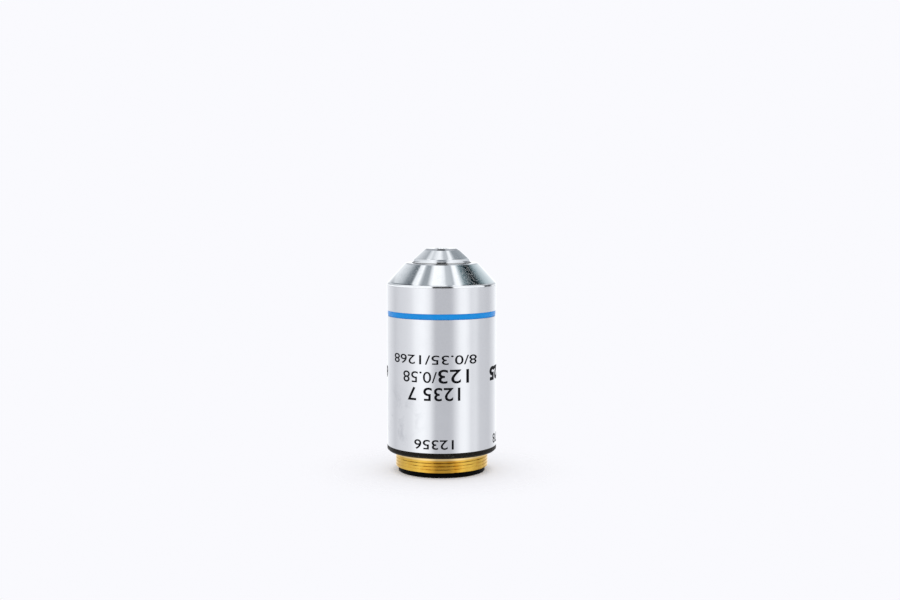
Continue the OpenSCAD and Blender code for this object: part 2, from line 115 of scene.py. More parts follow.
class ObjectiveSizes(bpy.types.PropertyGroup):
    """Sizes of the dressed pieces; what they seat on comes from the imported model."""

    sleeve_wall: length("Sleeve wall", 1.0 * MM, "Wall of the satin sleeve")
    groove_depth: length("Groove depth", 0.5 * MM, "Depth of the coloured ring's groove")
    ring_crown: length("Ring crown", 0.05 * MM, "How far the enamel rises at its middle")
    edge_round: length("Edge round", 0.07 * MM, "Radius on the edges of the turned pieces")
    fine_round: length("Fine round", 0.03 * MM, "Radius on the edges of cone and nose")

    seam_w: length("Seam width", 0.05 * MM, "Width of the facet that shows as the seam line")
    seam_h: length("Seam height", 0.29 * MM, "Height of the facet that shows as the seam line")
    cone_bevel_w: length("Cone bevel width", 0.06 * MM, "Width of the bevel under the cone")
    cone_bevel_h: length("Cone bevel height", 0.16 * MM, "Height of the bevel under the cone")
    cone_brow_w: length("Cone brow width", 0.24 * MM, "Width of the narrow facet above the bevel")
    cone_brow_h: length("Cone brow height", 0.3 * MM, "Height of the narrow facet above the bevel")
    cone_h: length("Cone height", 4.8 * MM, "Height of the cone above the sleeve")
    cone_flat: length("Cone flat", 1.4 * MM, "Width of the flat round the cone's hole")
    cone_edge_out: length("Cone edge out", 0.2 * MM, "How far the top edge's chamfer reaches out")
    cone_edge_in: length("Cone edge in", 0.13 * MM, "How far the top edge's chamfer reaches in")
    cone_edge_h: length("Cone edge height", 0.21 * MM, "Height of the top edge's chamfer")
    cone_lip: length("Cone lip", 1.2 * MM, "Height of the straight wall in the cone's hole")
    nose_gap: length("Nose gap", 0.2 * MM, "Radial gap between cone and nose")
    skirt_wall: length("Skirt wall", 1.04 * MM, "Wall of the cone's inner skirt")

    nose_step: length("Nose step", 1.6 * MM, "Step from the nose's flange in to its side")
    nose_rim_h: length("Rim height", 0.95 * MM, "Height of the rounded rim of the nose")
    nose_h: length("Nose height", 3.1 * MM, "Height of the nose above the cone")
    nose_flank_r: length("Flank radius", 3.9 * MM, "Radius where the nose's flank ends")
    nose_tip_r: length("Tip radius", 3.37 * MM, "Radius of the flat tip")
    nose_tip_h: length("Tip chamfer", 0.38 * MM, "Height of the chamfer round the tip")
    tip_hole_r: length("Tip hole", 1.2 * MM, "Radius of the hole in front of the lens")
    tip_lip: length("Tip lip", 0.4 * MM, "Thickness of the lip over the front lens")
    nose_flange_h: length("Flange height", 1.2 * MM, "Thickness of the nose's flange")
    nose_spigot_h: length("Spigot height", 2.0 * MM, "Length of the nose's spigot")
    seat_gap: length("Seat gap", 0.02 * MM, "Clearance between seated pieces")
    neck_wall: length("Neck wall", 1.0 * MM, "Wall of the lens barrel's neck")
    nose_wall: length("Nose wall", 1.1 * MM, "Wall of the nose")

    thread_pitch: length("Thread pitch", 25.4 / 36 * MM, "Distance between the thread's ridges")
    thread_depth: length("Thread depth", 0.09 * MM, "Depth of the thread's grooves")
    groove_share: FloatProperty(
        name="Groove share", description="Share of the pitch that a groove takes", default=0.34,
        min=0.2, max=1,
    )
    plain_band: length("Plain band", 0.78 * MM, "Plain stretch above the thread")
    relief_h: length("Relief height", 0.6 * MM, "Height of the relief groove above the thread")
    relief_step: length("Relief step", 0.45 * MM, "Depth of the groove below the thread's top")
    spigot_r: length("Spigot radius", 9.28 * MM, "Radius of the spigots of thread and cone")
    bore_r: length("Bore radius", 8.0 * MM, "Radius of the bore through the thread")
    foot_hole_r: length("Foot hole", 7.0 * MM, "Radius of the hole in the foot ring")

    wire_r: length("Wire radius", 0.4 * MM, "Radius of the spring's wire")
    print_proud: length("Print height", 0.012 * MM, "How far the print stands proud")
    turning_steps: IntProperty(
        name="Turning steps", description="Segments round a turned piece", default=192, min=48
    )


class ObjectiveColours(bpy.types.PropertyGroup):
    """Base colours of the finishes."""

    satin: colour("Satin chrome", (0.76, 0.77, 0.785), "Satin sleeve")
    satin_stain: colour("Handling stain", (0.62, 0.63, 0.65), "Stains on the sleeve")
    polished: colour("Polished chrome", (0.83, 0.845, 0.855), "Cone and nose")
    polished_dark: colour("Polished shade", (0.62, 0.65, 0.68), "Marks on cone and nose")
    enamel: colour("Enamel", (0.004, 0.262, 0.73), "Coloured ring")
    anodised: colour("Anodised", (0.0078, 0.0058, 0.0034), "Shoulder flange and body tube")
    anodised_rub: colour("Rubbed anodising", (0.06, 0.06, 0.05), "Rubbed spots on the flange")
    lacquer: colour("Lacquer", (0.0012, 0.0011, 0.0011), "Foot ring")
    brass: colour("Brass", (0.77, 0.485, 0.08), "Fixing thread")
    # Deep brass is tarnish in the random patches and painted shade at the thread's front
    brass_tarnish_and_shade: colour("Deep brass", (0.5, 0.21, 0.008), "Tarnish on the thread")
    brass_pale: colour("Pale brass", (0.84, 0.62, 0.28), "Plain band above the thread")
    ink: colour("Ink", (0.004, 0.004, 0.006), "Printed numbers")
    backdrop: colour("Backdrop", (0.955, 0.955, 0.991), "Floor and backdrop")


def sizes():
    """The sizes as they are set in the scene."""
    return bpy.context.scene.objective_sizes


def colours():
    """The colours as they are set in the scene."""
    return bpy.context.scene.objective_colours


def sleeve_face():
    """Radius of the sleeve's face, on which the print stands."""
    return outer_radius("outer_sleeve") - sizes().print_proud


def cone_hole():
    """Radius of the hole in the cone, round the nose."""
    return outer_radius("nose_mount") - sizes().nose_step + sizes().nose_gap


# Modelling helpers


def deselect_all():
    """Clears the selection, because an operator acts on all that is selected."""
    bpy.ops.object.select_all(action="DESELECT")


def lathe(name, outline, steps=None):
    """Spins a closed outline of (radius, height) points round the optical axis."""
    deselect_all()
    bpy.ops.mesh.primitive_plane_add(size=1.0 * MM)
    piece = bpy.context.object
    piece.name = name
    bpy.ops.object.mode_set(mode="EDIT")
    bpy.ops.mesh.select_mode(type="VERT")
    bpy.ops.mesh.select_all(action="SELECT")
    bpy.ops.mesh.merge(type="CENTER")
    first = outline[0]
    bpy.ops.transform.translate(value=(first[0], 0, first[1]))
    for (r0, z0), (r1, z1) in zip(outline, outline[1:]):
        bpy.ops.mesh.extrude_region_move(TRANSFORM_OT_translate={"value": (r1 - r0, 0, z1 - z0)})
    mesh = bmesh.from_edit_mesh(piece.data)
    mesh.verts.ensure_lookup_table()
    ends = {0, len(mesh.verts) - 1}
    for vert in mesh.verts:
        vert.select_set(vert.index in ends)
    bmesh.update_edit_mesh(piece.data)
    bpy.ops.mesh.edge_face_add()
    bpy.ops.mesh.select_all(action="SELECT")
    bpy.ops.mesh.spin(
        steps=steps or sizes().turning_steps, angle=math.tau, center=(0, 0, 0), axis=(0, 0, 1)
    )
    bpy.ops.mesh.select_all(action="SELECT")
    bpy.ops.mesh.remove_doubles(threshold=0.0002 * MM)
    bpy.ops.mesh.normals_make_consistent(inside=False)
    bpy.ops.object.mode_set(mode="OBJECT")
    return piece


def make_active(piece):
    """Selects the piece alone and makes it active."""
    deselect_all()
    piece.select_set(True)
    bpy.context.view_layer.objects.active = piece


def apply_modifier(piece, modifier):
    """Applies one modifier of the piece."""
    make_active(piece)
    bpy.ops.object.modifier_apply(modifier=modifier.name)


def round_edges(piece, width, angle=20):
    """Rounds the edges of a turned piece that are sharper than the angle."""
    bevel = piece.modifiers.new("Edge round", "BEVEL")
    bevel.width = width
    bevel.segments = 3
    bevel.limit_method = "ANGLE"
    bevel.angle_limit = math.radians(angle)
    bevel.use_clamp_overlap = True
    apply_modifier(piece, bevel)


def shade(piece, angle=30):
    """Shades a piece smooth, with edges over the angle kept and large faces held true."""
    make_active(piece)
    bpy.ops.object.shade_smooth_by_angle(angle=math.radians(angle))
    weighted = piece.modifiers.new("Weighted normals", "WEIGHTED_NORMAL")
    weighted.keep_sharp = True
    apply_modifier(piece, weighted)


def finish_piece(piece, body, slot, *nodes, look=None):
    """Gives a new piece the finish of its record slot and its body, and hides the nodes that it
    stands for.
    """
    piece.data.materials.clear()
    piece.data.materials.append(finish(look or slot))
    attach(piece, body)
    if nodes:
        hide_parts(*nodes)


# Node groups shared by the finishes


def new_group(name, inputs, outputs):
    """A shader node group; inputs are given as (name, value), outputs by their names."""
    group = bpy.data.node_groups.new(name, "ShaderNodeTree")
    for label, value in inputs:
        socket = group.interface.new_socket(
            name=label, in_out="INPUT", socket_type="NodeSocketFloat"
        )
        socket.default_value = value
    for label in outputs:
        group.interface.new_socket(name=label, in_out="OUTPUT", socket_type="NodeSocketFloat")
    return group


def feed(tree, socket, value):
    """Links a socket to an input, or gives the input a plain value."""
    if isinstance(value, bpy.types.NodeSocket):
        tree.links.new(value, socket)
    else:
        socket.default_value = value


def set_inputs(tree, node, **values):
    """Feeds the inputs that the keys name, with _ for a space."""
    for key, value in values.items():
        feed(tree, node.inputs[key.replace("_", " ")], value)


def add_node(tree, kind, **values):
    """Adds a node; each key is one of its properties or names an input."""
    node = tree.nodes.new(kind)
    for key, value in values.items():
        if key in node.bl_rna.properties:
            setattr(node, key, value)
        else:
            set_inputs(tree, node, **{key: value})
    return node


def math_node(tree, operation, a, b=None, clamp=False):
    """A Math node; a and b are sockets or numbers."""
    node = add_node(tree, "ShaderNodeMath", operation=operation, use_clamp=clamp)
    for index, value in enumerate((a, b)):
        if value is not None:
            feed(tree, node.inputs[index], value)
    return node.outputs[0]


def times(tree, a, b):
    """The product of two sockets or numbers."""
    return math_node(tree, "MULTIPLY", a, b)


def plus(tree, a, b, clamp=False):
    """The sum of two sockets or numbers, kept within 0..1 where clamped."""
    return math_node(tree, "ADD", a, b, clamp)


def map_range(tree, value, low, high, to_low=0.0, to_high=1.0, smooth=False):
    """A Map Range node from low..high to to_low..to_high."""
    node = add_node(
        tree, "ShaderNodeMapRange", interpolation_type="SMOOTHSTEP" if smooth else "LINEAR",
        Value=value, From_Min=low, From_Max=high, To_Min=to_low, To_Max=to_high,
    )
    return node.outputs["Result"]


def mix_colour(tree, factor, a, b):
    """A colour Mix node; the factor is a socket, and a and b are sockets or RGB values."""
    node = add_node(tree, "ShaderNodeMix", data_type="RGBA", Factor=factor)
    for socket, value in ((node.inputs[6], a), (node.inputs[7], b)):
        is_socket = isinstance(value, bpy.types.NodeSocket)
        feed(tree, socket, value if is_socket else (*value, 1))
    return node.outputs[2]


def object_coords(tree):
    """The object's own coordinates."""
    return add_node(tree, "ShaderNodeTexCoord").outputs["Object"]


def split_xyz(tree, vector):
    """The X, Y and Z of a vector."""
    return add_node(tree, "ShaderNodeSeparateXYZ", Vector=vector).outputs


def join_xyz(tree, **parts):
    """A vector from sockets for its X, Y and Z."""
    return add_node(tree, "ShaderNodeCombineXYZ", **parts).outputs[0]


def vector_length(tree, vector):
    """The length of a vector."""
    node = add_node(tree, "ShaderNodeVectorMath", operation="LENGTH", Vector=vector)
    return node.outputs["Value"]


def turning_group():
    """Fine lines that run round the axis, as a lathe leaves them."""
    group = new_group("turning_lines", [("Lines per mm", 12.0), ("Drift", 0.02)], ["Height"])
    given = group.nodes.new("NodeGroupInput").outputs
    result = group.nodes.new("NodeGroupOutput")
    place = split_xyz(group, object_coords(group))
    per_metre = times(group, given["Lines per mm"], 1 / MM)
    across = times(group, per_metre, given["Drift"])
    stretched = join_xyz(
        group,
        X=times(group, place["X"], across),
        Y=times(group, place["Y"], across),
        Z=times(group, place["Z"], per_metre),
    )
    noise = add_node(
        group, "ShaderNodeTexNoise", Vector=stretched, Scale=1.0, Detail=3.0, Roughness=0.6
    )
    set_inputs(group, result, Height=noise.outputs["Fac"])
    return group


def handling_group():
    """Smudges and small marks that handling leaves on metal."""
    group = new_group(
        "handling_marks",
        [("Smudges per m", 260.0), ("Marks per m", 2600.0), ("Marks from", 0.6)],
        ["Smudge", "Marks"],
    )
    given = group.nodes.new("NodeGroupInput").outputs
    result = group.nodes.new("NodeGroupOutput")
    coords = object_coords(group)
    smudge = add_node(
        group, "ShaderNodeTexNoise", Vector=coords, Scale=given["Smudges per m"],
        Detail=4.0, Roughness=0.62, Distortion=0.4,
    )
    marks = add_node(
        group, "ShaderNodeTexNoise", Vector=coords, Scale=given["Marks per m"],
        Detail=5.0, Roughness=0.7, Distortion=1.2,
    )
    above = math_node(group, "SUBTRACT", marks.outputs["Fac"], given["Marks from"])
    set_inputs(
        group, result,
        Smudge=map_range(group, smudge.outputs["Fac"], 0.42, 0.68, smooth=True),
        Marks=map_range(group, above, 0, 0.14, smooth=True),
    )
    return group


def lines_on(tree, per_mm):
    """The height of the turning lines, so many to the millimetre."""
    group = bpy.data.node_groups.get("turning_lines") or turning_group()
    node = add_node(tree, "ShaderNodeGroup", node_tree=group, Lines_per_mm=per_mm)
    return node.outputs["Height"]


def marks_on(tree, **values):
    """The masks of smudges and of small marks."""
    group = bpy.data.node_groups.get("handling_marks") or handling_group()
    node = add_node(tree, "ShaderNodeGroup", node_tree=group, **values)
    return node.outputs["Smudge"], node.outputs["Marks"]


# Finishes

# Where marks and one painted shade lie on the object, and how far each reaches
STAIN = (-9.5 * MM, -7.0 * MM, 8.5 * MM), 8.0 * MM
DUST_RIGHT = (6.2 * MM, -7.6 * MM, 38.6 * MM), 4.2 * MM
DUST_LEFT = (-6.4 * MM, -6.6 * MM, 39.4 * MM), 3.6 * MM
# Painted shade, not tarnish: a darker patch on the front of the thread
THREAD_FRONT_SHADE = (0.4 * MM, -10.1 * MM, -2.7 * MM), 5.5 * MM


def new_material(name):
    """A material with its node tree and Principled shader."""
    material = bpy.data.materials.new(name)
    material.use_nodes = True
    tree = material.node_tree
    return material, tree, tree.nodes["Principled BSDF"]


def bump(tree, shader, height, strength, distance):
    """Feeds a height into the shader's normal."""
    node = add_node(tree, "ShaderNodeBump", Strength=strength, Distance=distance, Height=height)
    set_inputs(tree, shader, Normal=node.outputs["Normal"])


def turned_shine(tree, shader, amount):
    """Stretches highlights across the turning lines."""
    tangent = add_node(tree, "ShaderNodeTangent", direction_type="RADIAL", axis="Z")
    set_inputs(
        tree, shader, Tangent=tangent.outputs[0], Anisotropic=amount, Anisotropic_Rotation=0.25
    )


def near_point(tree, place, reach):
    """A mask that is 1 near a place on the object and falls to 0 at its reach."""
    away = add_node(tree, "ShaderNodeVectorMath", operation="DISTANCE", Vector=object_coords(tree))
    away.inputs[1].default_value = place
    return map_range(tree, away.outputs["Value"], reach * 0.4, reach, 1.0, 0.0, smooth=True)


def satin_chrome(name):
    """Satin chrome with turning lines, faint smudges and one stained patch low on the sleeve."""
    material, tree, shader = new_material(name)
    lines = lines_on(tree, 14.0)
    smudge, marks = marks_on(tree)
    stain = times(tree, near_point(tree, *STAIN), smudge)
    spots = times(tree, plus(tree, smudge, marks), 0.10)
    soiled = plus(tree, stain, spots, clamp=True)
    grain = map_range(tree, lines, 0.3, 0.7, 0.12, 0.16)
    set_inputs(
        tree, shader,
        Metallic=1,
        Base_Color=mix_colour(tree, soiled, colours().satin, colours().satin_stain),
        Roughness=plus(tree, grain, times(tree, soiled, 0.12)),
    )
    bump(tree, shader, lines, 0.04, 0.004 * MM)
    turned_shine(tree, shader, 0.6)
    return material


def plain_band_mask(tree):
    """1 on the thread's plain band, under the flange."""
    height = split_xyz(tree, object_coords(tree))["Z"]
    band = sizes().plain_band
    return map_range(tree, height, -1.15 * band, -0.75 * band, smooth=True)


def gap_shade_mask(tree):
    """1 in the gap between nose and cone: painted shade, where the metal is coloured black because
    the gap lies in shadow.
    """
    place = split_xyz(tree, object_coords(tree))
    radius = vector_length(tree, join_xyz(tree, X=place["X"], Y=place["Y"]))
    edge = top_z("front_cap")
    within = math_node(tree, "LESS_THAN", radius, cone_hole() + 0.03 * MM)
    below = map_range(tree, place["Z"], edge + 0.02 * MM, edge + 0.13 * MM, 1.0, 0.0)
    return times(tree, within, below)


def polished_chrome(name):
    """Polished chrome that mirrors the studio, with fine lines, two dusty patches and painted shade
    on the nose where it sits in the gap to the cone.
    """
    material, tree, shader = new_material(name)
    lines = lines_on(tree, 20.0)
    smudge, marks = marks_on(tree, Smudges_per_m=700.0, Marks_per_m=3000.0, Marks_from=0.48)
    left = times(tree, near_point(tree, *DUST_LEFT), 0.7)
    dusty = plus(tree, near_point(tree, *DUST_RIGHT), left, clamp=True)
    dust = times(tree, marks, map_range(tree, dusty, 0, 1, 0.22, 0.9))
    soiled = plus(tree, times(tree, smudge, 0.12), dust, clamp=True)
    # Painted shade: the nose's wall in the gap to the cone gets the black lacquer colour, no metal
    # and more roughness
    inside = gap_shade_mask(tree)
    unshaded = math_node(tree, "SUBTRACT", 1.0, inside)
    metal = mix_colour(tree, soiled, colours().polished, colours().polished_dark)
    polish = map_range(tree, lines, 0.3, 0.7, 0.02, 0.04)
    rough = plus(tree, polish, times(tree, soiled, 0.2))
    set_inputs(
        tree, shader,
        Metallic=times(tree, unshaded, map_range(tree, dust, 0, 1, 1.0, 0.6)),
        Base_Color=mix_colour(tree, inside, metal, colours().lacquer),
        Roughness=plus(tree, rough, times(tree, inside, 0.6)),
    )
    bump(tree, shader, lines, 0.03, 0.003 * MM)
    return material


def blue_enamel(name):
    """Smooth enamel with a little mottling."""
    material, tree, shader = new_material(name)
    smudge, marks = marks_on(tree, Smudges_per_m=500.0)
    base = colours().enamel
    worn = (base[0] + 0.03, base[1] * 1.12, min(1, base[2] * 1.08))
    set_inputs(
        tree, shader,
        Base_Color=mix_colour(tree, times(tree, smudge, 0.3), base, worn),
        Roughness=map_range(tree, marks, 0, 1, 0.3, 0.42),
        Specular_IOR_Level=0.14,
    )
    bump(tree, shader, smudge, 0.1, 0.01 * MM)
    return material


def dark_finish(name, base, rubbed, rub, roughness, gloss):
    """A dark coating with rubbed spots."""
    material, tree, shader = new_material(name)
    lines = lines_on(tree, 9.0)
    smudge, marks = marks_on(tree, Smudges_per_m=900.0, Marks_per_m=2400.0, Marks_from=0.55)
    set_inputs(
        tree, shader,
        Base_Color=mix_colour(tree, times(tree, marks, rub), base, rubbed),
        Roughness=map_range(tree, smudge, 0, 1, roughness, roughness + 0.12),
        Specular_IOR_Level=gloss,
    )
    bump(tree, shader, lines, 0.25, 0.01 * MM)
    return material


def metal_finish(name, base, deep, roughness):
    """Turned metal with a deeper colour in patches; the thread's is darker at its front, a painted
    shade, and paler on its plain band.
    """
    material, tree, shader = new_material(name)
    lines = lines_on(tree, 10.0)
    smudge, marks = marks_on(tree, Smudges_per_m=420.0, Marks_per_m=1800.0)
    patch = plus(tree, times(tree, smudge, 0.3), times(tree, marks, 0.25), clamp=True)
    is_thread = tuple(base) == tuple(colours().brass)
    if is_thread:
        # Painted shade: the deep brass colour spread over the front of the thread
        patch = plus(tree, patch, times(tree, near_point(tree, *THREAD_FRONT_SHADE), 0.55), clamp=True)
    metal = mix_colour(tree, patch, base, deep)
    if is_thread:
        metal = mix_colour(tree, plain_band_mask(tree), metal, colours().brass_pale)
    set_inputs(
        tree, shader,
        Metallic=1,
        Base_Color=metal,
        Roughness=map_range(tree, lines, 0.3, 0.7, roughness, roughness + 0.08),
    )
    bump(tree, shader, lines, 0.1, 0.005 * MM)
    return material


def glass_finish(name, tint):
    """Clear coated glass."""
    material, tree, shader = new_material(name)
    smudge, _ = marks_on(tree, Smudges_per_m=600.0)
    set_inputs(
        tree, shader,
        Base_Color=(*tint, 1),
        Roughness=map_range(tree, smudge, 0, 1, 0.02, 0.05),
        Transmission_Weight=1,
        IOR=1.52,
    )
    return material


def finish(slot):
    """The finish of a record slot, made when it is first asked for."""
    name = f"{slot}_finish"
    if name in bpy.data.materials:
        return bpy.data.materials[name]
    tone = colours()
    black = (0.02, 0.02, 0.02)
    rubbed_black = (0.08, 0.07, 0.05)
    coatings = {
        "black_anodised": (tone.anodised, tone.anodised_rub, 0.8, 0.42, 0.1),
        "black_lacquer": (tone.lacquer, tone.anodised, 0.3, 0.5, 0.03),
        "blackened_brass": (black, rubbed_black, 0.5, 0.5, 0.3),
        "ink": (tone.ink, tone.anodised_rub, 0.1, 0.5, 0.04),
    }
    metals = {
        "thread_brass": (tone.brass, tone.brass_tarnish_and_shade, 0.07),
        "cell_brass": ((0.62, 0.42, 0.16), (0.4, 0.24, 0.08), 0.3),
        "spring_steel": ((0.45, 0.45, 0.46), (0.27, 0.27, 0.28), 0.2),
        "screw_steel": ((0.3, 0.3, 0.31), (0.18, 0.18, 0.19), 0.3),
    }
    glasses = {"coated_glass": (0.78, 0.88, 0.97), "flint_glass": (0.96, 0.94, 0.86)}
    if slot in coatings:
        return dark_finish(name, *coatings[slot])
    if slot in metals:
        return metal_finish(name, *metals[slot])
    if slot in glasses:
        return glass_finish(name, glasses[slot])
    makers = {
        "satin_chrome": satin_chrome,
        "polished_chrome": polished_chrome,
        "blue_enamel": blue_enamel,
    }
    return makers[slot](name)


# Pieces


class ObjectiveOperator(bpy.types.Operator):
    """Base of the operators that build the pieces."""

    bl_options = {"REGISTER", "UNDO"}


class OBJECTIVE_OT_sleeve(ObjectiveOperator):
    """Satin sleeve with the groove for the coloured ring"""

    bl_idname = "objective.sleeve"
    bl_label = "Satin sleeve"

    def execute(self, context):
        size = sizes()
        outer = sleeve_face()
        bottom, top = low_z("outer_sleeve"), top_z("outer_sleeve")
        ring_low, ring_high = low_z("magnification_ring"), top_z("magnification_ring")
        groove = outer - size.groove_depth
        bore = outer - size.sleeve_wall
        piece = lathe(
            "satin_sleeve",
            [
                (bore, bottom), (outer, bottom), (outer, ring_low), (groove, ring_low),
                (groove, ring_high), (outer, ring_high), (outer, top), (bore, top),
            ],
        )
        round_edges(piece, size.edge_round)
        shade(piece)
        finish_piece(piece, HOUSING, "satin_chrome", "outer_sleeve")
        return {"FINISHED"}


class OBJECTIVE_OT_ring(ObjectiveOperator):
    """Enamel ring, slightly crowned in its groove"""

    bl_idname = "objective.ring"
    bl_label = "Coloured ring"

    def execute(self, context):
        size = sizes()
        face = outer_radius("magnification_ring")
        back = sleeve_face() - size.groove_depth
        low, high = low_z("magnification_ring"), top_z("magnification_ring")
        crown_steps = 8
        crown = [
            (
                face - size.ring_crown * (2 * step / crown_steps - 1) ** 2,
                low + (high - low) * step / crown_steps,
            )
            for step in range(crown_steps + 1)
        ]
        piece = lathe("enamel_ring", [(back, low), *crown, (back, high)])
        shade(piece)
        finish_piece(piece, HOUSING, "blue_enamel", "magnification_ring")
        return {"FINISHED"}


class OBJECTIVE_OT_cone(ObjectiveOperator):
    """Polished cone with its bevel, hole and inner skirt"""

    bl_idname = "objective.cone"
    bl_label = "Polished cone"

    def execute(self, context):
        size = sizes()
        outer = outer_radius("front_cap")
        top, skirt_low = top_z("front_cap"), low_z("front_cap")
        base = top - size.cone_h
        hole = cone_hole()
        skirt = size.spigot_r
        skirt_bore = skirt - size.skirt_wall
        bevel_r = outer - size.seam_w - size.cone_bevel_w
        bevel_z = base + size.seam_h + size.cone_bevel_h
        piece = lathe(
            "polished_cone",
            [
                (skirt, skirt_low), (skirt, base), (outer, base),
                (outer - size.seam_w, base + size.seam_h), (bevel_r, bevel_z),
                (bevel_r - size.cone_brow_w, bevel_z + size.cone_brow_h),
                (hole + size.cone_flat + size.cone_edge_out, top - size.cone_edge_h),
                (hole + size.cone_flat - size.cone_edge_in, top), (hole, top),
                (hole, top - size.cone_lip),
                (skirt_bore, base), (skirt_bore, skirt_low),
            ],
        )
        round_edges(piece, size.fine_round, 10)
        shade(piece, 5)
        finish_piece(piece, HOUSING, "polished_chrome", "front_cap")
        return {"FINISHED"}


class OBJECTIVE_OT_nose(ObjectiveOperator):
    """Nose with its rim, flank and the lip round the front lens"""

    bl_idname = "objective.nose"
    bl_label = "Retracting nose"

    def execute(self, context):
        size = sizes()
        tip, low = top_z("nose_mount"), low_z("nose_mount")
        flange = outer_radius("nose_mount")
        side = flange - size.nose_step
        spigot = flange - size.neck_wall - size.seat_gap
        throat = flange - 3 * size.neck_wall
        bore = side - size.nose_wall
        rim = tip - size.nose_h
        shelf = low + size.nose_spigot_h
        seat = tip - size.tip_lip
        cell = outer_radius("front_lens_cell") + size.seat_gap
        cell_low = low_z("front_lens_cell")
        piece = lathe(
            "retracting_nose",
            [
                (throat, low), (spigot, low), (spigot, shelf), (flange, shelf),
                (flange, shelf + size.nose_flange_h), (side, shelf + size.nose_flange_h),
                *self.rim_round(side, rim), (size.nose_flank_r, tip - size.nose_tip_h),
                (size.nose_tip_r, tip),
                (size.tip_hole_r + size.tip_lip, tip), (size.tip_hole_r, seat), (cell, seat),
                (cell, cell_low), (bore, cell_low), (bore, shelf), (throat, shelf),
            ],
        )
        round_edges(piece, size.fine_round, 11)
        shade(piece, 5)
        finish_piece(piece, LENS_GROUP, "polished_chrome", "nose_mount")
        return {"FINISHED"}

    def rim_round(self, side, rim):
        """The rounded rim: it leans back further with each step up."""
        steps, lean_low, lean_high = 8, 6.5, 36.5
        rise = sizes().nose_rim_h / steps
        points = [(side, rim)]
        for step in range(steps):
            lean = lean_low + (lean_high - lean_low) * step / (steps - 1)
            radius, height = points[-1]
            points.append((radius - rise * math.tan(math.radians(lean)), height + rise))
        return points


class OBJECTIVE_OT_front_lens(ObjectiveOperator):
    """Front lens: flat towards the specimen, round behind"""

    bl_idname = "objective.front_lens"
    bl_label = "Front lens"

    def execute(self, context):
        rim = outer_radius("front_lens")
        low, top = low_z("front_lens"), top_z("front_lens")
        curve = 2.0 * MM  # radius of the round face
        face_steps = 16
        radii = [rim * step / face_steps for step in range(face_steps + 1)]
        back = [(radius, low + (curve - math.sqrt(curve**2 - radius**2))) for radius in radii]
        piece = lathe("front_lens_glass", [*back, (rim, top), (0, top)], steps=96)
        shade(piece)
        finish_piece(piece, LENS_GROUP, "coated_glass", "front_lens")
        return {"FINISHED"}


class OBJECTIVE_OT_thread(ObjectiveOperator):
    """Brass mount with its fine right-hand thread and plain band"""

    bl_idname = "objective.thread"
    bl_label = "Fixing thread"

    def execute(self, context):
        size = sizes()
        major = outer_radius("thread_mount")
        bottom, top = low_z("thread_mount"), top_z("thread_mount")
        rows_per_turn = 20
        row = size.thread_pitch / rows_per_turn
        start = -size.plain_band
        rows = int((start - bottom) / row)
        wall = [(major, start - row * index) for index in range(rows)]
        piece = lathe(
            "brass_thread",
            [
                (size.bore_r, top), (size.bore_r, bottom), (major - size.thread_depth, bottom),
                *reversed(wall), (major, 0), (major - size.relief_step, 0),
                (major - size.relief_step, size.relief_h), (size.spigot_r, size.relief_h),
                (size.spigot_r, top),
            ],
        )
        self.cut_thread(piece, major, bottom, start)
        shade(piece, 40)
        finish_piece(piece, HOUSING, "thread_brass", "thread_mount")
        return {"FINISHED"}

    def cut_thread(self, piece, major, bottom, start):
        """Moves the wall's vertices in along a right-hand helix of grooves with flat ridges."""
        size = sizes()
        fade = 0.35 * size.thread_pitch
        kept_below = 0.4
        slack = 0.01 * MM
        for vert in piece.data.vertices:
            radius = math.hypot(vert.co.x, vert.co.y)
            if radius < major - slack or vert.co.z > start + slack:
                continue
            turn = math.atan2(vert.co.y, vert.co.x) / math.tau
            phase = (vert.co.z / size.thread_pitch - turn) % 1
            groove = max(0, 1 - abs(2 * phase - 1) / size.groove_share)
            ends = min(1, (start - vert.co.z) / fade, (vert.co.z - bottom) / fade + kept_below)
            cut = size.thread_depth * groove * max(0, ends)
            vert.co.x *= (radius - cut) / radius
            vert.co.y *= (radius - cut) / radius


class OBJECTIVE_OT_foot(ObjectiveOperator):
    """Black ring that closes the thread and carries the standing objective"""

    bl_idname = "objective.foot"
    bl_label = "Foot ring"

    def execute(self, context):
        size = sizes()
        outer, hole = outer_radius("rear_ring"), size.foot_hole_r
        low, high = low_z("rear_ring"), top_z("rear_ring")
        shelf = low_z("thread_mount")
        spigot = size.bore_r - size.seat_gap
        chamfer = 0.04 * MM
        piece = lathe(
            "foot_ring",
            [
                (hole, low), (outer - chamfer, low), (outer, low + chamfer), (outer, shelf),
                (spigot, shelf), (spigot, high), (hole, high),
            ],
        )
        shade(piece)
        finish_piece(piece, HOUSING, "black_lacquer", "rear_ring")
        return {"FINISHED"}


